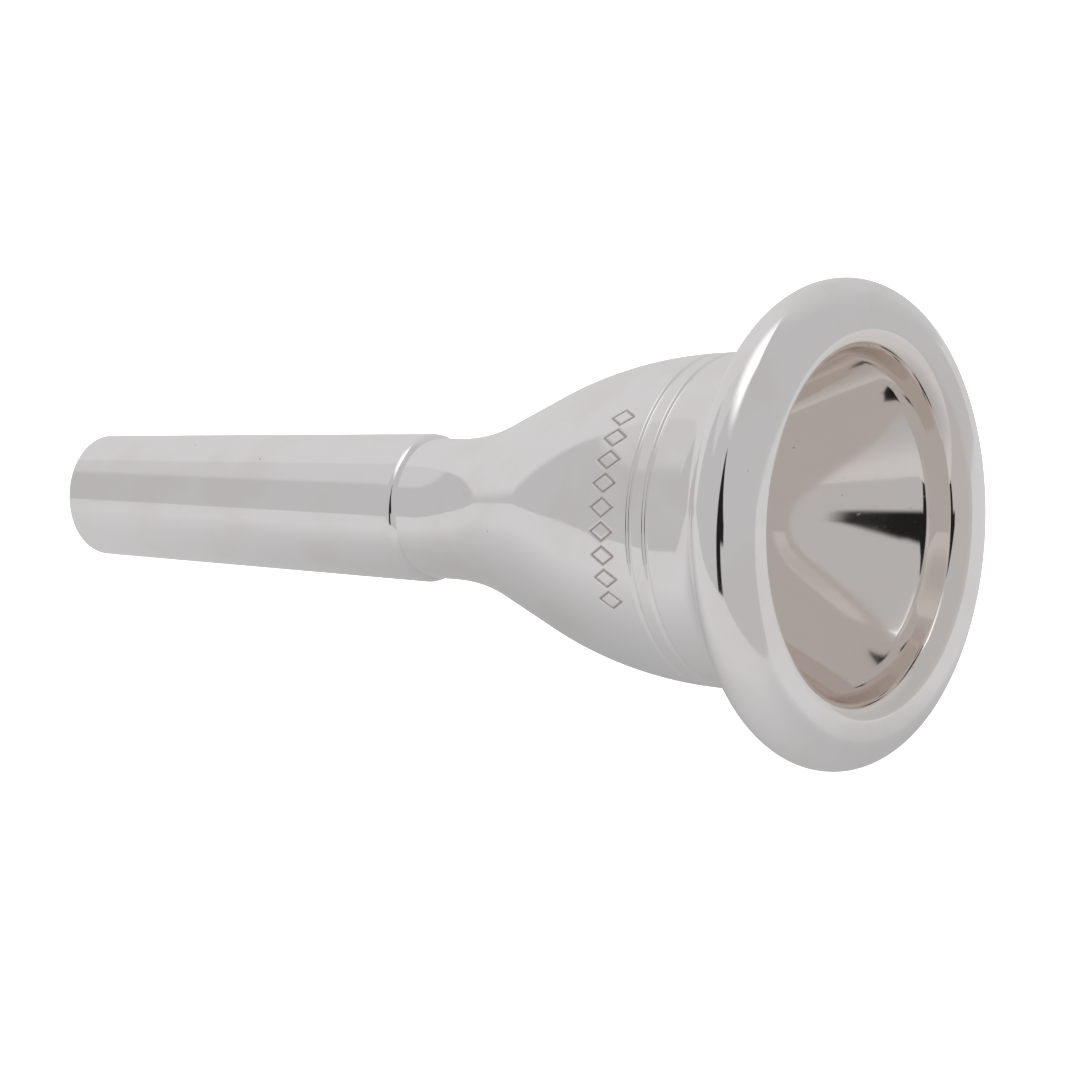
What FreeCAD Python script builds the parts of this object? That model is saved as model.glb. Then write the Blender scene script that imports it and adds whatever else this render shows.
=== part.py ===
import FreeCAD, Part
import math
import os

# Tuba mouthpiece in three turned pieces, in millimetres.
# The axis lies along +X. The origin is the centre of the shank's end face, and the rim faces +X.
# A station is a distance along the axis from the origin. Each outline is drawn in the XZ plane as
# stations and radii, and turned about X.

# Radial play between each spigot or stub and its socket
FIT_CLEARANCE = 0.05

# Shank: the taper that enters the instrument's receiver, and a stub that enters the neck
SHANK_LENGTH = 44.5
SHANK_END_RADIUS = 6.26
SHANK_END_WALL = 0.96
SHANK_TAPER = 0.025          # radius gained per millimetre, which is 1 in 20 on the diameter
SHANK_END_ROUND = 0.3
SHOULDER_LENGTH = 0.38       # the shoulder rolls down to the neck over this length
SHOULDER_DROP = 0.45
SHOULDER_REACH = 0.56
STUB_LENGTH = 5.5

# Cup, inside: throat, funnel, curved wall, and its last steeper stretch up to the bite
THROAT_RADIUS = 4.1
BITE_RADIUS = 16.25
FUNNEL_FOOT_DEPTH = 23.54    # below the bite, the corner between throat and funnel
WALL_CORNER_DEPTH = 9.2      # below the bite, the corner between funnel and upper wall
WALL_CORNER_DRAFT = 3.53     # how much narrower than the bite that corner is
WALL_TOP_DEPTH = 2.1
WALL_TOP_DRAFT = 0.22
THROAT_CURVE_REACH = 6.0
WALL_CURVE_REACH = 5.0
WALL_TOP_REACH = 0.8

# Cup, outside: short neck, cone, level band, collar that curves out to the rim
NECK_WALL = 1.26
NECK_GAIN = 0.11             # the neck is this much wider at its corner than at the shoulder
NECK_LENGTH = 7.0            # shoulder to the corner where the cone starts
CONE_LENGTH = 19.75
BAND_LENGTH = 13.85
COLLAR_LENGTH = 1.2
NECK_CURVE_REACH = 4.2       # how far a curve reaches from its corner along both sides
BOWL_CURVE_REACH = 9.7
COLLAR_CURVE_REACH = 1.5
GROOVE_SETBACKS = (7.85, 6.02)  # from the rim seat back to each turned groove
GROOVE_SECTION_RADIUS = 0.42
GROOVE_DEPTH = 0.17

# Rim
BITE_HEIGHT = 6.9            # above the rim seat
CREST_HEIGHT = 1.65          # above the bite
LIP_WIDTH = 0.4
RIM_WIDTH = 6.35
FACE_DROP = 0.25             # how far the rim's face falls from its outer to its inner corner
RIM_EDGE_DEPTH = 4.9         # crest to the corner where the rim's back starts
LIP_REACH = 1.35
OUTER_ROLL_REACH = 3.1
BACK_ROLL_REACH = 1.75
BACK_FILLET_REACH = 0.5
SPIGOT_LENGTH = 3.0
SPIGOT_OVER_BITE = 0.15      # how much wider the spigot is than the bite
SEAT_WIDTH = 0.55            # the ring around the spigot that the rim seats on
BAND_BELOW_COLLAR = 1.26     # how much narrower the band is than the collar's edge

BACKBORE_END_RADIUS = SHANK_END_RADIUS - SHANK_END_WALL
SHOULDER_RADIUS = SHANK_END_RADIUS + SHANK_TAPER * (SHANK_LENGTH - SHOULDER_LENGTH)
NECK_START_RADIUS = SHOULDER_RADIUS - SHOULDER_DROP
NECK_RADIUS = NECK_START_RADIUS + NECK_GAIN
STUB_RADIUS = NECK_START_RADIUS - NECK_WALL - FIT_CLEARANCE
SPIGOT_RADIUS = BITE_RADIUS + SPIGOT_OVER_BITE
COLLAR_RADIUS = SPIGOT_RADIUS + FIT_CLEARANCE + SEAT_WIDTH
CUP_RADIUS = COLLAR_RADIUS - BAND_BELOW_COLLAR
RIM_RADIUS = BITE_RADIUS + RIM_WIDTH

NECK_CORNER = SHANK_LENGTH + NECK_LENGTH
BOWL_CORNER = NECK_CORNER + CONE_LENGTH
COLLAR_CORNER = BOWL_CORNER + BAND_LENGTH
RIM_SEAT = COLLAR_CORNER + COLLAR_LENGTH
SPIGOT_END = RIM_SEAT + SPIGOT_LENGTH
BITE = RIM_SEAT + BITE_HEIGHT
CREST = BITE + CREST_HEIGHT
STUB_END = SHANK_LENGTH + STUB_LENGTH


def place(station, radius):
    return FreeCAD.Vector(station, 0, radius)


def limited_reach(corners, index):
    """The reach of a corner's curve, limited so that it shares each side with its neighbour."""
    station, radius, reach = corners[index]
    for other in (index - 1, (index + 1) % len(corners)):
        side = math.hypot(corners[other][0] - station, corners[other][1] - radius)
        both = reach + corners[other][2]
        if both > side:
            reach = min(reach, side * corners[index][2] / both)
    return reach


def outline(corners):
    """Closed outline through (station, radius, reach): reach 0 is sharp, any other is an arc."""
    edges = []
    ends = []
    for index, (station, radius, reach) in enumerate(corners):
        corner = place(station, radius)
        before = place(*corners[index - 1][:2])
        after = place(*corners[(index + 1) % len(corners)][:2])
        if reach == 0:
            ends.append((corner, corner))
            continue
        reach = limited_reach(corners, index)
        to_before = (before - corner).normalize()
        to_after = (after - corner).normalize()
        half_angle = to_before.getAngle(to_after) / 2
        start = corner + to_before * reach
        end = corner + to_after * reach
        to_centre = (to_before + to_after).normalize()
        arc_radius = reach * math.tan(half_angle)
        middle = corner + to_centre * (reach / math.cos(half_angle) - arc_radius)
        edges.append(Part.Arc(start, middle, end).toShape())
        ends.append((start, end))
    for index in range(len(corners)):
        start = ends[index - 1][1]
        end = ends[index][0]
        if start.distanceToPoint(end) > 1e-6:
            edges.append(Part.LineSegment(start, end).toShape())
    return Part.Wire(Part.__sortEdges__(edges))


def turned(corners):
    """Solid of an outline turned about the mouthpiece's axis."""
    face = Part.Face(outline(corners))
    return face.revolve(FreeCAD.Vector(0, 0, 0), FreeCAD.Vector(1, 0, 0), 360)


def cup_radius_at(station):
    """Radius of the cup's outside where its bowl curve meets the level band."""
    rise = CUP_RADIUS - NECK_RADIUS
    turn = math.atan2(rise, CONE_LENGTH)
    curve_radius = BOWL_CURVE_REACH / math.tan(turn / 2)
    curve_end = BOWL_CORNER + BOWL_CURVE_REACH
    if station > curve_end:
        return CUP_RADIUS
    return CUP_RADIUS - curve_radius + math.sqrt(curve_radius**2 - (curve_end - station)**2)


def groove(station):
    """Ring that is cut away to leave one turned groove."""
    ring_radius = cup_radius_at(station) + GROOVE_SECTION_RADIUS - GROOVE_DEPTH
    centre = FreeCAD.Vector(station, 0, 0)
    return Part.makeTorus(ring_radius, GROOVE_SECTION_RADIUS, centre, FreeCAD.Vector(1, 0, 0))


def hollow():
    """The space inside cup and rim: throat, funnel and curved wall, up to the bite."""
    return turned([
        (STUB_END - 1, 0, 0),
        (STUB_END - 1, THROAT_RADIUS, 0),
        (BITE - FUNNEL_FOOT_DEPTH, THROAT_RADIUS, THROAT_CURVE_REACH),
        (BITE - WALL_CORNER_DEPTH, BITE_RADIUS - WALL_CORNER_DRAFT, WALL_CURVE_REACH),
        (BITE - WALL_TOP_DEPTH, BITE_RADIUS - WALL_TOP_DRAFT, WALL_TOP_REACH),
        (BITE, BITE_RADIUS, 0),
        (BITE, 0, 0),
    ])


def shank():
    return turned([
        (0, BACKBORE_END_RADIUS, 0),
        (0, SHANK_END_RADIUS, SHANK_END_ROUND),
        (SHANK_LENGTH - SHOULDER_LENGTH, SHOULDER_RADIUS, SHOULDER_REACH),
        (SHANK_LENGTH, NECK_START_RADIUS, 0),
        (SHANK_LENGTH, STUB_RADIUS, 0),
        (STUB_END, STUB_RADIUS, 0),
        (STUB_END, THROAT_RADIUS, 0),
    ])


def cup():
    blank = turned([
        (SHANK_LENGTH, STUB_RADIUS + FIT_CLEARANCE, 0),
        (SHANK_LENGTH, NECK_START_RADIUS, 0),
        (NECK_CORNER, NECK_RADIUS, NECK_CURVE_REACH),
        (BOWL_CORNER, CUP_RADIUS, BOWL_CURVE_REACH),
        (COLLAR_CORNER, CUP_RADIUS, COLLAR_CURVE_REACH),
        (RIM_SEAT, COLLAR_RADIUS, 0),
        (RIM_SEAT, SPIGOT_RADIUS, 0),
        (SPIGOT_END, SPIGOT_RADIUS, 0),
        (SPIGOT_END, 0, 0),
        (STUB_END, 0, 0),
        (STUB_END, STUB_RADIUS + FIT_CLEARANCE, 0),
    ])
    grooves = [groove(RIM_SEAT - setback) for setback in GROOVE_SETBACKS]
    return blank.cut([hollow()] + grooves)


def rim():
    collar_angle = math.atan2(COLLAR_RADIUS - CUP_RADIUS, COLLAR_LENGTH)
    fillet_station = RIM_SEAT + BACK_FILLET_REACH * math.cos(collar_angle)
    fillet_radius = COLLAR_RADIUS + BACK_FILLET_REACH * math.sin(collar_angle)
    blank = turned([
        (RIM_SEAT, SPIGOT_RADIUS + FIT_CLEARANCE, 0),
        (RIM_SEAT, COLLAR_RADIUS, 0),
        (fillet_station, fillet_radius, BACK_FILLET_REACH),
        (CREST - RIM_EDGE_DEPTH, RIM_RADIUS, BACK_ROLL_REACH),
        (CREST, RIM_RADIUS, OUTER_ROLL_REACH),
        (CREST - FACE_DROP, BITE_RADIUS + LIP_WIDTH, LIP_REACH),
        (BITE, BITE_RADIUS, 0),
        (BITE, 0, 0),
        (SPIGOT_END, 0, 0),
        (SPIGOT_END, SPIGOT_RADIUS + FIT_CLEARANCE, 0),
    ])
    return blank.cut(hollow())


def main():
    os.makedirs("parts", exist_ok=True)
    pieces = {"shank": shank(), "cup": cup(), "rim": rim()}
    for name, piece in pieces.items():
        piece.Solids[0].exportStep("parts/" + name + ".step")
        print(name, "solids", len(piece.Solids), "valid", piece.isValid(), "volume", round(piece.Volume, 1))


main()
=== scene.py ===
"""Tuba mouthpiece of turned brass with silver plate, polished bright: shank, cup and rim."""
import math

import bmesh
import bpy
from mathutils import Matrix, Quaternion, Vector


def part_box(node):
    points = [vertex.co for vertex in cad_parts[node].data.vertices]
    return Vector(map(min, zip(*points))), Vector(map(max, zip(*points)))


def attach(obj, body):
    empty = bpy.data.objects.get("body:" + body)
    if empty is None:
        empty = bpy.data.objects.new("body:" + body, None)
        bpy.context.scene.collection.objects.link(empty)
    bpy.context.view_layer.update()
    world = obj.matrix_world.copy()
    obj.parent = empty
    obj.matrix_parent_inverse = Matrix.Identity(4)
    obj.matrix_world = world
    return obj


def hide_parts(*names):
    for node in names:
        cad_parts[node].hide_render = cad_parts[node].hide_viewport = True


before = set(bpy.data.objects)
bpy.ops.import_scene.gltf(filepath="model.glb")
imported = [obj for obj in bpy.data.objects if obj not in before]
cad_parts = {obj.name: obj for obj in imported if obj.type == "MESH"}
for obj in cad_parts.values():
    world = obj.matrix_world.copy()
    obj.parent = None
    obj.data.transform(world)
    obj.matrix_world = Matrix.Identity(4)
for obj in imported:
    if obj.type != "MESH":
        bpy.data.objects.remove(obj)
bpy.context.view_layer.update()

MM = 0.001

# The pieces meet at stations, which are distances along +X from the shank's end face, in mm.
SHANK_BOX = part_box("shank")
CUP_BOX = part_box("cup")
RIM_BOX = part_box("rim")
SHOULDER = CUP_BOX[0][0] / MM
STUB_END = SHANK_BOX[1][0] / MM
RIM_SEAT = RIM_BOX[0][0] / MM
SPIGOT_END = CUP_BOX[1][0] / MM
RIM_RADIUS = RIM_BOX[1][1] / MM
COLLAR_RADIUS = CUP_BOX[1][1] / MM

# Sizes in mm. A reach is how far the curve that rounds a corner goes along both its sides.
FIT_CLEARANCE = 0.05

# Shank
SHANK_END_RADIUS = 6.26
SHANK_END_WALL = 0.96
SHANK_END_ROUND = 0.3
BACKBORE_END_ROUND = 0.12
SHANK_TAPER = 0.025          # radius gained per millimetre
SHOULDER_LENGTH = 0.38       # the shoulder rolls down to the neck over this length
SHOULDER_DROP = 0.45
SHOULDER_REACH = 0.56

# Cup, outside
NECK_WALL = 1.26
NECK_GAIN = 0.11
NECK_LENGTH = 7.0
NECK_CURVE_REACH = 4.2
CONE_LENGTH = 19.75
BOWL_CURVE_REACH = 9.7
BAND_LENGTH = 13.85
BAND_BELOW_COLLAR = 1.26     # how much narrower the band is than the collar's edge
COLLAR_CURVE_REACH = 1.5
COLLAR_EDGE_ROUND = 0.05
SEAT_WIDTH = 0.55
GROOVE_SETBACKS = (7.85, 6.02)  # from the rim seat back to each turned groove
GROOVE_HALF_WIDTH = 0.36
GROOVE_DEPTH = 0.19

# Cup, inside: throat, funnel, curved wall, and its last steeper stretch up to the bite
THROAT_RADIUS = 4.1
THROAT_CURVE_REACH = 6.0
FUNNEL_FOOT_DEPTH = 23.54
WALL_CORNER_DEPTH = 9.2
WALL_CORNER_DRAFT = 3.53
WALL_CURVE_REACH = 5.0
WALL_TOP_DEPTH = 2.1
WALL_TOP_DRAFT = 0.22
WALL_TOP_REACH = 0.8

# Rim
BITE_RADIUS = 16.25
BITE_HEIGHT = 6.9
BITE_ROUND = 0.08
BITE_ROUND_START = 0.3       # below the bite, the end of the wall that the bite's round leaves alone
CREST_HEIGHT = 1.65
FACE_DROP = 0.25
LIP_WIDTH = 0.4
LIP_REACH = 1.35
OUTER_ROLL_REACH = 3.1
RIM_EDGE_DEPTH = 4.9
BACK_ROLL_REACH = 1.75
BACK_FILLET = 0.5
BACK_FILLET_REACH = 0.4

BITE = RIM_SEAT + BITE_HEIGHT
CREST = BITE + CREST_HEIGHT
SHOULDER_CORNER = SHOULDER - SHOULDER_LENGTH
SHOULDER_RADIUS = SHANK_END_RADIUS + SHANK_TAPER * SHOULDER_CORNER
NECK_START_RADIUS = SHOULDER_RADIUS - SHOULDER_DROP
STUB_RADIUS = NECK_START_RADIUS - NECK_WALL - FIT_CLEARANCE
BAND_RADIUS = COLLAR_RADIUS - BAND_BELOW_COLLAR
SPIGOT_RADIUS = COLLAR_RADIUS - SEAT_WIDTH - FIT_CLEARANCE
NECK_CORNER = SHOULDER + NECK_LENGTH
BOWL_CORNER = NECK_CORNER + CONE_LENGTH
COLLAR_CORNER = BOWL_CORNER + BAND_LENGTH

# Engraved marks round the cup, in mm: a row of small open lozenges
MARK_COUNT = 9
MARK_HEIGHT = 2.6            # along the mouthpiece
MARK_WIDTH = 1.75            # round the cup
MARK_PITCH = 2.27
MARK_STATION = 75.2
MARK_REACH = 1.6             # the marks are cut within this distance of their station
MARK_ANGLE = math.radians(159.3)
STROKE_HALF_WIDTH = 0.14
STROKE_DEPTH = 0.07
STROKE_STEEPNESS = 1.6       # over 1 gives a stroke a flat bottom

# Fineness of the turned surfaces: spacing of an outline's points, and steps round the axis
RUN_STEP = 1.3
ARC_STEP = math.radians(2.5)
SHANK_STEPS = 256
CUP_STEPS = 224
RIM_STEPS = 320
FINE_CELL = 0.115            # round the cup, where it is engraved
CUT_RADIUS = 14.2            # marks and grooves are cut in walls outside this radius
CLOSE_BANDS = [(MARK_STATION - MARK_REACH - 0.2, MARK_STATION + MARK_REACH + 0.2, 0.11)]
for setback in GROOVE_SETBACKS:
    CLOSE_BANDS.append((RIM_SEAT - setback - 0.4, RIM_SEAT - setback + 0.7, 0.045))
CLOSE_BANDS.append((MARK_STATION - 2.2, RIM_SEAT - 5.0, 0.3))
DOUBLINGS = 3                # a slice is spun and then doubled, which is quicker than one long spin
MERGE_DISTANCE = 1e-7
SHARP_ANGLE = math.radians(28)

# Silver plate: sizes of its patterns in mm, and how high or deep each is.
# The rings and scratches are coarser than real polishing marks, so that they show at all.
HAZE_PATCH = 8.33
RING_SPACING = 0.154
RING_HEIGHT = 0.00006
SCRATCH_LENGTH = 5.56
SCRATCH_SPACING = 0.385
SCRATCH_TILTS = (0.5, 2.3)
SCRATCH_DEPTH = 0.0002
SPECK_SPACING = 4.35
SPECK_DEPTH = 0.003

# Camera
CAMERA_AIM = Vector((55.74, 0.0, -2.30)) * MM
CAMERA_DISTANCE = 363.5 * MM
CAMERA_AZIMUTH = math.radians(38.11)
CAMERA_ELEVATION = math.radians(14.74)
CAMERA_ROLL = math.radians(-8.67)
CAMERA_LENS = 125.78

# Studio light, as brightness seen in a mirror
SCREEN_LIGHT = 0.51
SCREEN_TOP_LIGHT = 0.60
LEFT_WALL_LIGHT = 0.65
RIGHT_WALL_LIGHT = 0.58
CEILING_LIGHT = 1.15
GAP_LIGHT = 0.015
BACKDROP_LIGHT = 1.0
SHEET_LIGHT = 0.635
SHEET_SHADE_LIGHT = 0.41     # painted shade on the sheet close under the cup
OVERHEAD_LIGHT = 2.2
TABLE_GLOW = 0.9

# Edges of what stands in the room, each from where it starts to where it is full, in degrees.
# Azimuth is 0 towards the camera and grows to the camera's right. Elevation is above the table.
LEFT_SCREEN_EDGE = (-126, -122)
RIGHT_SCREEN_EDGE = (150, 105)
SCREEN_TOP_FOOT = (26, 30)
SCREEN_TOP_SIDE = (-84, -94)
CEILING_EDGE = (50, 72)
CEILING_SIDE = (-20, -60)
GAP_LEFT_EDGE = (-38, -35)
GAP_RIGHT_EDGE = (1.5, -1.5)    # past the gap's slanted edge
GAP_TOP_EDGE = (50, 46)
GAP_FOOT = (8, 12)
GAP_STRIP = (-21, -24)          # left of this the gap goes down to the table
GAP_SLANT = {"From Min": 18, "From Max": 48, "To Min": -12, "To Max": -34}  # elevation to azimuth
LEFT_WALL_EDGE = (0.35, -0.25)  # share of the way to the camera's right

# Table and sheet, in mm: x along the mouthpiece, y across it and away from the camera
TABLE_CORNERS = ((-3000, -3000), (3000, -3000), (3000, 3000), (-3000, 3000))
SHEET_CORNERS = ((-160, -124), (113, -124), (290, 500), (-160, 500))
SHADE_STATION = 68           # middle of the painted shade on the sheet, under the cup
SHADE_LENGTH = 100           # from its middle to full light, along the mouthpiece
SHADE_WIDTH = 45             # and across it


# Turning: an outline in the XZ plane is spun about the mouthpiece's axis

def spot(station, radius):
    return Vector((station, 0, radius)) * MM


def stride(place):
    """Spacing of the outline's points, which is close where marks and grooves are cut."""
    if place.z > CUT_RADIUS * MM:
        for start, end, spacing in CLOSE_BANDS:
            if start * MM < place.x < end * MM:
                return spacing * MM
    return RUN_STEP * MM


def run_to(mesh, tip, target):
    """The outline goes on from its tip in a straight run, with no short step at its end."""
    run = target - tip.co
    while run.length > 1e-9:
        share = stride(tip.co) / run.length
        if share > 0.6:
            share = 1.0
        tip = bmesh.ops.extrude_vert_indiv(mesh, verts=[tip])["verts"][0]
        bmesh.ops.translate(mesh, verts=[tip], vec=run * share)
        run = target - tip.co
    return tip


def curve_round(mesh, tip, centre, turn):
    """The outline goes on from its tip in an arc about a centre."""
    radius = (tip.co - centre).length
    left = turn
    while abs(left) > 1e-9:
        step = math.copysign(min(abs(turn) / 3, ARC_STEP, stride(tip.co) / radius, abs(left)), left)
        tip = bmesh.ops.extrude_vert_indiv(mesh, verts=[tip])["verts"][0]
        bmesh.ops.rotate(mesh, verts=[tip], cent=centre, matrix=Matrix.Rotation(step, 3, "Y"))
        left -= step
    return tip


def corner_curve(before, corner, after, reach):
    """Start, centre and signed turn of the arc that rounds a corner."""
    to_before = (before - corner).normalized()
    to_after = (after - corner).normalized()
    half_angle = to_before.angle(to_after) / 2
    start = corner + to_before * reach
    centre = corner + (to_before + to_after).normalized() * (reach / math.cos(half_angle))
    turn = math.pi - 2 * half_angle
    side = to_after.cross(to_before).y
    return start, centre, math.copysign(turn, side)


def draw(mesh, tip, corners, target):
    """The outline goes on through corners of (station, radius, reach) to a target.

    Reach 0 is a sharp corner."""
    spots = [spot(station, radius) for station, radius, reach in corners] + [spot(*target)]
    for corner, after, (station, radius, reach) in zip(spots, spots[1:], corners):
        if reach == 0:
            tip = run_to(mesh, tip, corner)
            continue
        start, centre, turn = corner_curve(tip.co, corner, after, reach * MM)
        tip = run_to(mesh, tip, start)
        tip = curve_round(mesh, tip, centre, turn)
    return run_to(mesh, tip, spots[-1])


def inner_wall(start, end):
    """The wall of the hollow between two stations, as an open outline: mesh, low tip, high tip."""
    mesh = bmesh.new()
    foot = mesh.verts.new(spot(STUB_END, THROAT_RADIUS))
    draw(mesh, foot, [
        (BITE - FUNNEL_FOOT_DEPTH, THROAT_RADIUS, THROAT_CURVE_REACH),
        (BITE - WALL_CORNER_DEPTH, BITE_RADIUS - WALL_CORNER_DRAFT, WALL_CURVE_REACH),
        (BITE - WALL_TOP_DEPTH, BITE_RADIUS - WALL_TOP_DRAFT, WALL_TOP_REACH),
    ], (BITE, BITE_RADIUS))
    for station, cut_side in ((start, -1), (end, 1)):
        lines = mesh.verts[:] + mesh.edges[:]
        bmesh.ops.bisect_plane(mesh, geom=lines, plane_co=spot(station, 0), plane_no=(cut_side, 0, 0),
                               clear_outer=True, dist=MERGE_DISTANCE)
    low = min(mesh.verts, key=lambda vert: vert.co.x)
    high = max(mesh.verts, key=lambda vert: vert.co.x)
    return mesh, low, high


def sector(outline, start, angle, steps):
    """A sector of the turned piece: one slice is spun, then doubled until it fills the sector."""
    mesh = outline.copy()
    bmesh.ops.rotate(mesh, verts=mesh.verts, matrix=Matrix.Rotation(start, 3, "X"))
    lines = mesh.verts[:] + mesh.edges[:]
    slices = 2**DOUBLINGS
    bmesh.ops.spin(mesh, geom=lines, axis=(1, 0, 0), angle=angle / slices, steps=steps // slices)
    for doubling in range(DOUBLINGS):
        whole = mesh.verts[:] + mesh.edges[:] + mesh.faces[:]
        copied = bmesh.ops.duplicate(mesh, geom=whole)["geom"]
        verts = [item for item in copied if isinstance(item, bmesh.types.BMVert)]
        turn = angle / slices * 2**doubling
        bmesh.ops.rotate(mesh, verts=verts, matrix=Matrix.Rotation(turn, 3, "X"))
    return mesh


def spun(outline, sectors):
    """The outline turned right round the axis, in sectors of (start, angle, steps)."""
    mesh = bmesh.new()
    for start, angle, steps in sectors:
        part = sector(outline, start, angle, steps)
        data = bpy.data.meshes.new("sector")
        part.to_mesh(data)
        part.free()
        mesh.from_mesh(data)
        bpy.data.meshes.remove(data)
    outline.free()
    bmesh.ops.remove_doubles(mesh, verts=mesh.verts, dist=MERGE_DISTANCE)
    bmesh.ops.recalc_face_normals(mesh, faces=mesh.faces)
    return mesh


def with_painted_hollow_shade(mesh):
    """Marks the walls that face the axis, for a painted shade that makes them darker and warmer in colour."""
    mesh.normal_update()
    hollow = mesh.verts.layers.float.new("hollow")
    for vert in mesh.verts:
        outward = Vector((0, vert.co.y, vert.co.z)).normalized()
        vert[hollow] = min(1.0, max(0.0, -2.5 * vert.normal.dot(outward)))


def finished(mesh, node, material):
    """The turned piece as an object that stands for its CAD node."""
    for face in mesh.faces:
        face.smooth = True
    for edge in mesh.edges:
        edge.smooth = edge.calc_face_angle(0.0) < SHARP_ANGLE
    data = bpy.data.meshes.new(node + "_silver")
    mesh.to_mesh(data)
    mesh.free()
    data.materials.append(material)
    piece = bpy.data.objects.new(node + "_silver", data)
    bpy.context.scene.collection.objects.link(piece)
    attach(piece, "root")
    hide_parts(node)
    return piece


# Pieces

def shank(material):
    mesh = bmesh.new()
    foot = mesh.verts.new(spot(STUB_END, THROAT_RADIUS))
    draw(mesh, foot, [
        (0, SHANK_END_RADIUS - SHANK_END_WALL, BACKBORE_END_ROUND),
        (0, SHANK_END_RADIUS, SHANK_END_ROUND),
        (SHOULDER_CORNER, SHOULDER_RADIUS, SHOULDER_REACH),
        (SHOULDER, NECK_START_RADIUS, 0),
        (SHOULDER, STUB_RADIUS, 0),
        (STUB_END, STUB_RADIUS, 0),
    ], (STUB_END, THROAT_RADIUS))
    return finished(spun(mesh, [(0, 2 * math.pi, SHANK_STEPS)]), "shank", material)


def grooved(mesh):
    """Two turned grooves, round at the bottom and eased at both edges."""
    for vert in mesh.verts:
        if vert.co.z < CUT_RADIUS * MM:
            continue
        for setback in GROOVE_SETBACKS:
            off_middle = abs(vert.co.x / MM - (RIM_SEAT - setback)) / GROOVE_HALF_WIDTH
            if off_middle < 1:
                vert.co.z -= GROOVE_DEPTH * MM * (1 + math.cos(math.pi * off_middle)) / 2


def lozenge_distance(across, along):
    """Distance in mm from a point to the outline of an open lozenge about the origin."""
    half_height = MARK_HEIGHT / 2
    half_width = MARK_WIDTH / 2
    side = math.hypot(half_height, half_width)
    edge = abs(across) * half_height + abs(along) * half_width - half_height * half_width
    return abs(edge) / side


def stroke_share(station, angle):
    """1 in the middle of a mark's stroke and 0 at its edge, at a point of the cup."""
    along_row = (angle - MARK_ANGLE) * BAND_RADIUS
    number = round(along_row / MARK_PITCH)
    if abs(number) > (MARK_COUNT - 1) / 2:
        return 0.0
    distance = lozenge_distance(along_row - number * MARK_PITCH, station - MARK_STATION)
    return max(0.0, 1 - distance / STROKE_HALF_WIDTH)


def engraved(mesh):
    """The row of marks cut into the cup, with a share of tarnish left in each stroke."""
    tarnish = mesh.verts.layers.float.new("tarnish")
    for vert in mesh.verts:
        station = vert.co.x / MM
        radius = math.hypot(vert.co.y, vert.co.z) / MM
        if abs(station - MARK_STATION) > MARK_REACH or radius < CUT_RADIUS:
            continue
        angle = math.atan2(vert.co.z, vert.co.y) % (2 * math.pi)
        share = stroke_share(station, angle)
        vert[tarnish] = share
        depth = STROKE_DEPTH * min(1.0, STROKE_STEEPNESS * share) / radius
        vert.co.y *= 1 - depth
        vert.co.z *= 1 - depth


def cup(material):
    mesh, foot, tip = inner_wall(STUB_END, SPIGOT_END)
    draw(mesh, tip, [
        (SPIGOT_END, SPIGOT_RADIUS, 0),
        (RIM_SEAT, SPIGOT_RADIUS, 0),
        (RIM_SEAT, COLLAR_RADIUS, COLLAR_EDGE_ROUND),
        (COLLAR_CORNER, BAND_RADIUS, COLLAR_CURVE_REACH),
        (BOWL_CORNER, BAND_RADIUS, BOWL_CURVE_REACH),
        (NECK_CORNER, NECK_START_RADIUS + NECK_GAIN, NECK_CURVE_REACH),
        (SHOULDER, NECK_START_RADIUS, 0),
        (SHOULDER, STUB_RADIUS + FIT_CLEARANCE, 0),
        (STUB_END, STUB_RADIUS + FIT_CLEARANCE, 0),
    ], (STUB_END, THROAT_RADIUS))
    grooved(mesh)
    row = (MARK_COUNT + 0.5) * MARK_PITCH / BAND_RADIUS
    row_steps = round(row * BAND_RADIUS / FINE_CELL)
    start = MARK_ANGLE - row / 2 - math.pi / 2
    mesh = spun(mesh, [(start, row, row_steps), (start + row, 2 * math.pi - row, CUP_STEPS)])
    engraved(mesh)
    with_painted_hollow_shade(mesh)
    return finished(mesh, "cup", material)


def rim(material):
    collar_angle = math.atan2(COLLAR_RADIUS - BAND_RADIUS, RIM_SEAT - COLLAR_CORNER)
    fillet_station = RIM_SEAT + BACK_FILLET * math.cos(collar_angle)
    fillet_radius = COLLAR_RADIUS + BACK_FILLET * math.sin(collar_angle)
    mesh, foot, tip = inner_wall(SPIGOT_END, BITE - BITE_ROUND_START)
    draw(mesh, tip, [
        (BITE, BITE_RADIUS, BITE_ROUND),
        (CREST - FACE_DROP, BITE_RADIUS + LIP_WIDTH, LIP_REACH),
        (CREST, RIM_RADIUS, OUTER_ROLL_REACH),
        (CREST - RIM_EDGE_DEPTH, RIM_RADIUS, BACK_ROLL_REACH),
        (fillet_station, fillet_radius, BACK_FILLET_REACH),
        (RIM_SEAT, COLLAR_RADIUS, 0),
        (RIM_SEAT, SPIGOT_RADIUS + FIT_CLEARANCE, 0),
        (SPIGOT_END, SPIGOT_RADIUS + FIT_CLEARANCE, 0),
    ], (SPIGOT_END, foot.co.z / MM))
    mesh = spun(mesh, [(0, 2 * math.pi, RIM_STEPS)])
    with_painted_hollow_shade(mesh)
    return finished(mesh, "rim", material)


# Materials

def linear(hex_colour):
    """Linear RGBA from an sRGB hex value."""
    channels = [int(hex_colour[index:index + 2], 16) / 255 for index in (0, 2, 4)]
    return [c / 12.92 if c <= 0.04045 else ((c + 0.055) / 1.055)**2.4 for c in channels] + [1.0]


def empty_tree(owner):
    owner.use_nodes = True
    owner.node_tree.nodes.clear()
    return owner.node_tree


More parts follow.
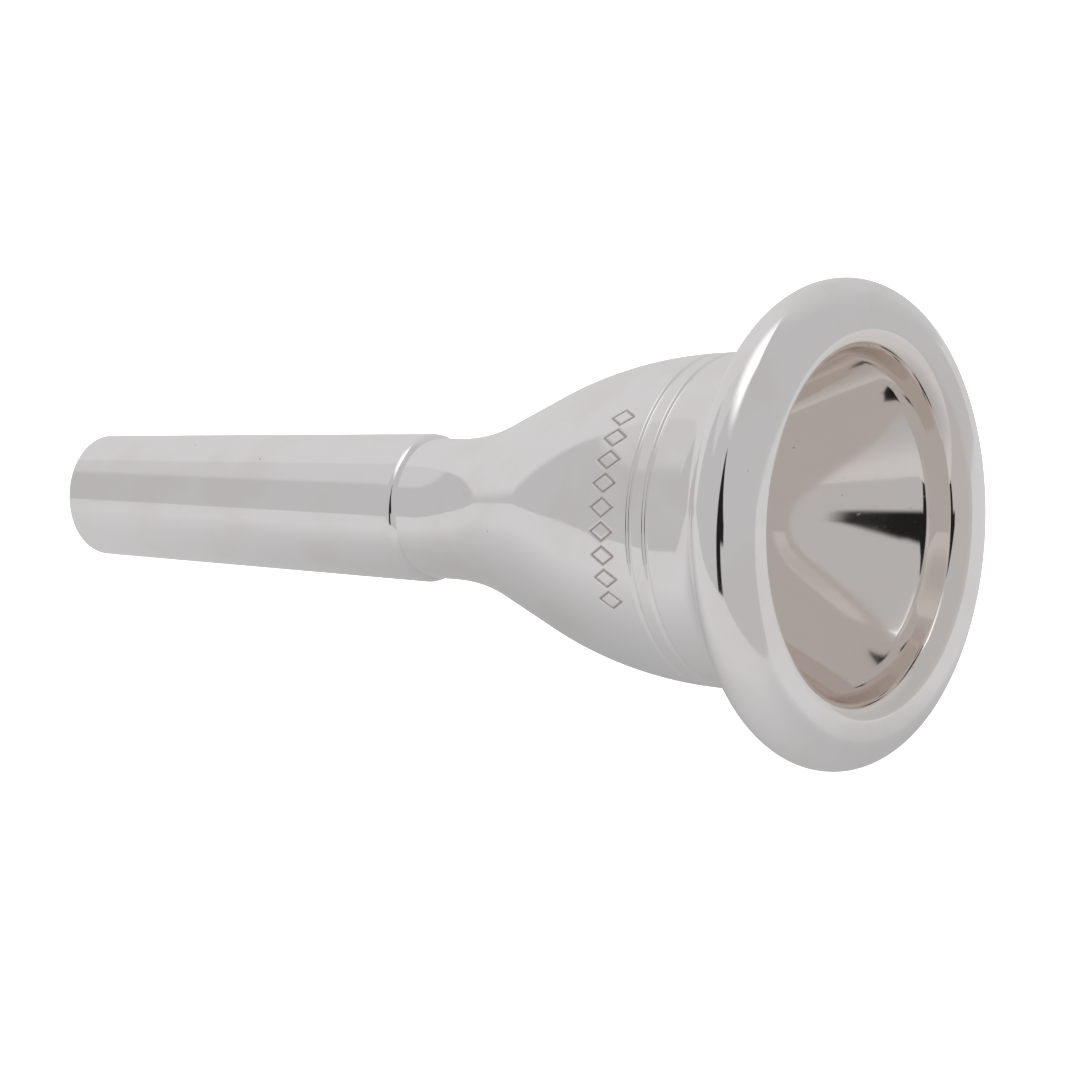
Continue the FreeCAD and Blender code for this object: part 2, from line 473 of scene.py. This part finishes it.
def add(tree, kind, sockets=None, **settings):
    """One node. Each socket gets a value, an output, or the first output in use of another node."""
    node = tree.nodes.new(kind)
    for name, value in settings.items():
        setattr(node, name, value)
    for name, value in (sockets or {}).items():
        if isinstance(value, bpy.types.Node):
            value = next(output for output in value.outputs if output.enabled)
        if isinstance(value, bpy.types.NodeSocket):
            tree.links.new(value, node.inputs[name])
        else:
            node.inputs[name].default_value = value
    return node


def silver_plate():
    """Silver plate on turned brass, polished bright, as a clear neutral mirror.

    In the hollow a painted shade makes it darker and warmer. Wiping has left faint rings round the axis,
    short fine scratches and a few pin specks, and handling a slight haze in patches."""
    material = bpy.data.materials.new("polished_silver_plate")
    tree = empty_tree(material)
    place = add(tree, "ShaderNodeTexCoord").outputs["Object"]
    hollow = add(tree, "ShaderNodeAttribute", attribute_name="hollow").outputs["Fac"]
    tarnish = add(tree, "ShaderNodeAttribute", attribute_name="tarnish").outputs["Fac"]

    clouds = add(tree, "ShaderNodeTexNoise", {
        "Vector": place, "Scale": 1 / (HAZE_PATCH * MM), "Detail": 4.0})
    haze = add(tree, "ShaderNodeMapRange", {
        "Value": clouds, "From Min": 0.42, "From Max": 0.72}, interpolation_type="SMOOTHSTEP")

    off_axis = add(tree, "ShaderNodeVectorMath", {0: place, 1: (0, 1, 1)}, operation="MULTIPLY")
    radius = add(tree, "ShaderNodeVectorMath", {0: off_axis}, operation="LENGTH")
    station = add(tree, "ShaderNodeSeparateXYZ", {"Vector": place}).outputs["X"]
    ring_place = add(tree, "ShaderNodeCombineXYZ", {"X": station, "Y": radius})
    rings = add(tree, "ShaderNodeTexNoise", {
        "Vector": ring_place, "Scale": 1 / (RING_SPACING * MM), "Detail": 3.0})

    scratches = 0.0
    strand_scale = (1 / (SCRATCH_LENGTH * MM), 1 / (SCRATCH_SPACING * MM), 1 / (SCRATCH_SPACING * MM))
    for tilt in SCRATCH_TILTS:
        strand_place = add(tree, "ShaderNodeMapping", {
            "Vector": place, "Rotation": (tilt, tilt * 1.7, 0.4), "Scale": strand_scale})
        strands = add(tree, "ShaderNodeTexNoise", {"Vector": strand_place, "Scale": 1.0, "Detail": 1.0})
        lines = add(tree, "ShaderNodeMapRange", {
            "Value": strands, "From Min": 0.71, "From Max": 0.76}, interpolation_type="SMOOTHSTEP")
        scratches = add(tree, "ShaderNodeMath", {0: scratches, 1: lines}, operation="MAXIMUM")

    pits = add(tree, "ShaderNodeTexVoronoi", {"Vector": place, "Scale": 1 / (SPECK_SPACING * MM)})
    specks = add(tree, "ShaderNodeMapRange", {
        "Value": pits, "From Min": 0.035, "From Max": 0.02}, interpolation_type="SMOOTHSTEP")

    # Where hollow is set, the plate's colour is a painted shade, darker and warmer.
    plate = add(tree, "ShaderNodeMix", {
        "Factor": hollow, "A": linear("FAF8F8"), "B": linear("F1EBE7")}, data_type="RGBA")
    film = add(tree, "ShaderNodeMath", {0: haze, 1: 0.35}, operation="MULTIPLY")
    hazed = add(tree, "ShaderNodeMix", {"Factor": film, "A": plate, "B": linear("EFE8E4")}, data_type="RGBA")
    speck_tarnish = add(tree, "ShaderNodeMath", {0: specks, 1: 0.45}, operation="MULTIPLY")
    dark = add(tree, "ShaderNodeMath", {0: tarnish, 1: speck_tarnish}, operation="MAXIMUM")
    colour = add(tree, "ShaderNodeMix", {"Factor": dark, "A": hazed, "B": linear("8C7C72")}, data_type="RGBA")

    dulled = add(tree, "ShaderNodeMath", {0: haze, 1: 0.05, 2: 0.045}, operation="MULTIPLY_ADD")
    roughness = add(tree, "ShaderNodeMath", {0: scratches, 1: 0.07, 2: dulled}, operation="MULTIPLY_ADD")
    height = 0.0
    for pattern, relief in ((rings, RING_HEIGHT), (scratches, -SCRATCH_DEPTH), (specks, -SPECK_DEPTH)):
        height = add(tree, "ShaderNodeMath", {0: pattern, 1: relief, 2: height}, operation="MULTIPLY_ADD")
    bump = add(tree, "ShaderNodeBump", {"Height": height, "Distance": MM})
    shader = add(tree, "ShaderNodeBsdfPrincipled", {
        "Base Color": colour, "Metallic": 1.0, "Roughness": roughness, "Normal": bump})
    add(tree, "ShaderNodeOutputMaterial", {"Surface": shader})
    return material


def lit_acrylic():
    """Matt white acrylic lit from below, so that hardly any shadow shows on it."""
    material = bpy.data.materials.new("lit_white_acrylic")
    tree = empty_tree(material)
    shader = add(tree, "ShaderNodeBsdfPrincipled", {
        "Base Color": linear("FFFFFF"), "Roughness": 0.9, "Specular IOR Level": 0.0,
        "Emission Color": linear("FFFFFF"), "Emission Strength": TABLE_GLOW})
    add(tree, "ShaderNodeOutputMaterial", {"Surface": shader})
    return material


def paper_with_painted_shade(lay):
    """Pale paper with an even glow and a painted shade, where the glow falls off close under the cup."""
    material = bpy.data.materials.new("pale_paper_with_painted_shade")
    tree = empty_tree(material)
    place = add(tree, "ShaderNodeTexCoord").outputs["Object"]
    from_middle = add(tree, "ShaderNodeMapping", {
        "Vector": place, "Location": lay @ Vector((SHADE_STATION * MM, 0, 0)), "Rotation": lay.to_euler(),
        "Scale": (SHADE_LENGTH * MM, SHADE_WIDTH * MM, 1.0)}, vector_type="TEXTURE")
    distance = add(tree, "ShaderNodeVectorMath", {0: from_middle}, operation="LENGTH")
    # The glow is dimmed near the middle: a painted shade under the cup, not a cast shadow.
    strength = add(tree, "ShaderNodeMapRange", {
        "Value": distance, "To Min": SHEET_SHADE_LIGHT, "To Max": SHEET_LIGHT,
    }, interpolation_type="SMOOTHSTEP")
    glow = add(tree, "ShaderNodeEmission", {"Strength": strength})
    add(tree, "ShaderNodeOutputMaterial", {"Surface": glow})
    return material


# Studio: the mouthpiece lies on its shank's end and its rim, so the table is tilted in this frame

def table_lay(pieces):
    """Matrix that lays the table's own XY plane against the undersides of shank and rim."""
    points = [vert.co for piece in pieces for vert in piece.data.vertices if abs(vert.co.y) < 1 * MM]
    rim_points = [point for point in points if point.x > RIM_SEAT * MM]
    shank_points = [point for point in points if point.x < 5 * MM]
    up = Vector((0, 0, 1))
    for _ in range(6):
        run = min(rim_points, key=up.dot) - min(shank_points, key=up.dot)
        up = Vector((-run.z, 0, run.x)).normalized()
    drop = min(up.dot(point) for point in points)
    return Matrix.Rotation(math.atan2(up.x, up.z), 4, "Y") @ Matrix.Translation((0, 0, drop))


def laid_sheet(name, lay, corners, material):
    """A flat sheet on the table."""
    mesh = bmesh.new()
    verts = [mesh.verts.new(Vector((along, across, 0)) * MM) for along, across in corners]
    bmesh.ops.contextual_create(mesh, geom=verts)
    bmesh.ops.transform(mesh, matrix=lay, verts=verts)
    data = bpy.data.meshes.new(name)
    mesh.to_mesh(data)
    mesh.free()
    data.materials.append(material)
    sheet = bpy.data.objects.new(name, data)
    bpy.context.scene.collection.objects.link(sheet)
    return sheet


def table(lay):
    """A white table that the silver doesn't mirror, and the pale sheet on it that only the silver does."""
    top = laid_sheet("table", lay, TABLE_CORNERS, lit_acrylic())
    top.visible_glossy = False
    sheet = laid_sheet("mirrored_sheet", lay, SHEET_CORNERS, paper_with_painted_shade(lay))
    sheet.visible_camera = False
    sheet.visible_diffuse = False
    sheet.visible_shadow = False


def camera():
    data = bpy.data.cameras.new("camera")
    data.lens = CAMERA_LENS
    data.clip_start = 10 * MM
    view = bpy.data.objects.new("camera", data)
    bpy.context.scene.collection.objects.link(view)
    level = math.cos(CAMERA_ELEVATION)
    toward = Vector((math.sin(CAMERA_AZIMUTH) * level, -math.cos(CAMERA_AZIMUTH) * level,
                     math.sin(CAMERA_ELEVATION)))
    view.location = CAMERA_AIM + toward * CAMERA_DISTANCE
    view.rotation_mode = "QUATERNION"
    view.rotation_quaternion = (-toward).to_track_quat("-Z", "Y") @ Quaternion((0, 0, 1), CAMERA_ROLL)
    bpy.context.scene.camera = view
    return view


def room_with(tree, room, light, edges):
    """Brightness of a room once something with a light of its own stands in it, inside soft edges."""
    share = 1.0
    for place, (outside, inside) in edges:
        edge = add(tree, "ShaderNodeMapRange", {
            "Value": place, "From Min": outside, "From Max": inside}, interpolation_type="SMOOTHSTEP")
        share = add(tree, "ShaderNodeMath", {0: share, 1: edge}, operation="MULTIPLY")
    return add(tree, "ShaderNodeMix", {"Factor": share, "A": room, "B": light}, data_type="FLOAT")


def studio(view, up):
    """Soft room light: grey screens in front, a white wall behind, a white ceiling, one dark gap."""
    world = bpy.data.worlds.new("studio")
    bpy.context.scene.world = world
    tree = empty_tree(world)
    front = view.location - CAMERA_AIM
    front = (front - up * front.dot(up)).normalized()
    direction = add(tree, "ShaderNodeTexCoord").outputs["Generated"]
    to_front, to_right, to_top = [
        add(tree, "ShaderNodeVectorMath", {0: direction, 1: axis}, operation="DOT_PRODUCT")
        for axis in (front, up.cross(front), up)]
    turn = add(tree, "ShaderNodeMath", {0: to_right, 1: to_front}, operation="ARCTAN2")
    rise = add(tree, "ShaderNodeMath", {0: to_top}, operation="ARCSINE")
    azimuth = add(tree, "ShaderNodeMath", {0: turn}, operation="DEGREES")
    elevation = add(tree, "ShaderNodeMath", {0: rise}, operation="DEGREES")

    wall = room_with(tree, RIGHT_WALL_LIGHT, LEFT_WALL_LIGHT, [(to_right, LEFT_WALL_EDGE)])
    screen = room_with(tree, SCREEN_LIGHT, SCREEN_TOP_LIGHT, [
        (elevation, SCREEN_TOP_FOOT), (azimuth, SCREEN_TOP_SIDE)])
    ceiling = room_with(tree, SCREEN_LIGHT, CEILING_LIGHT, [(azimuth, CEILING_SIDE)])
    room = room_with(tree, wall, screen, [(azimuth, LEFT_SCREEN_EDGE), (azimuth, RIGHT_SCREEN_EDGE)])
    room = room_with(tree, room, ceiling, [(elevation, CEILING_EDGE)])

    slant = add(tree, "ShaderNodeMapRange", {"Value": elevation, **GAP_SLANT})
    past_slant = add(tree, "ShaderNodeMath", {0: azimuth, 1: slant}, operation="SUBTRACT")
    gap_edges = [(azimuth, GAP_LEFT_EDGE), (past_slant, GAP_RIGHT_EDGE), (elevation, GAP_TOP_EDGE)]
    for foot in ((elevation, GAP_FOOT), (azimuth, GAP_STRIP)):
        room = room_with(tree, room, GAP_LIGHT, gap_edges + [foot])

    seen_by_camera = add(tree, "ShaderNodeLightPath").outputs["Is Camera Ray"]
    shown = add(tree, "ShaderNodeMix", {"Factor": seen_by_camera, "A": room, "B": BACKDROP_LIGHT})
    light = add(tree, "ShaderNodeBackground", {"Color": linear("FFFFFF"), "Strength": shown})
    add(tree, "ShaderNodeOutputWorld", {"Surface": light})


def overhead_light():
    """A broad soft lamp above, which whitens the table and isn't mirrored by the silver."""
    data = bpy.data.lights.new("overhead_light", "SUN")
    data.energy = OVERHEAD_LIGHT
    data.angle = math.radians(120)
    lamp = bpy.data.objects.new("overhead_light", data)
    bpy.context.scene.collection.objects.link(lamp)
    lamp.visible_glossy = False


silver = silver_plate()
pieces = [shank(silver), cup(silver), rim(silver)]
view = camera()
lay = table_lay(pieces)
table(lay)
studio(view, lay.col[2].xyz)
overhead_light()
bpy.context.scene.view_settings.view_transform = "Standard"
bpy.context.scene.cycles.max_bounces = 24
bpy.context.scene.cycles.glossy_bounces = 24
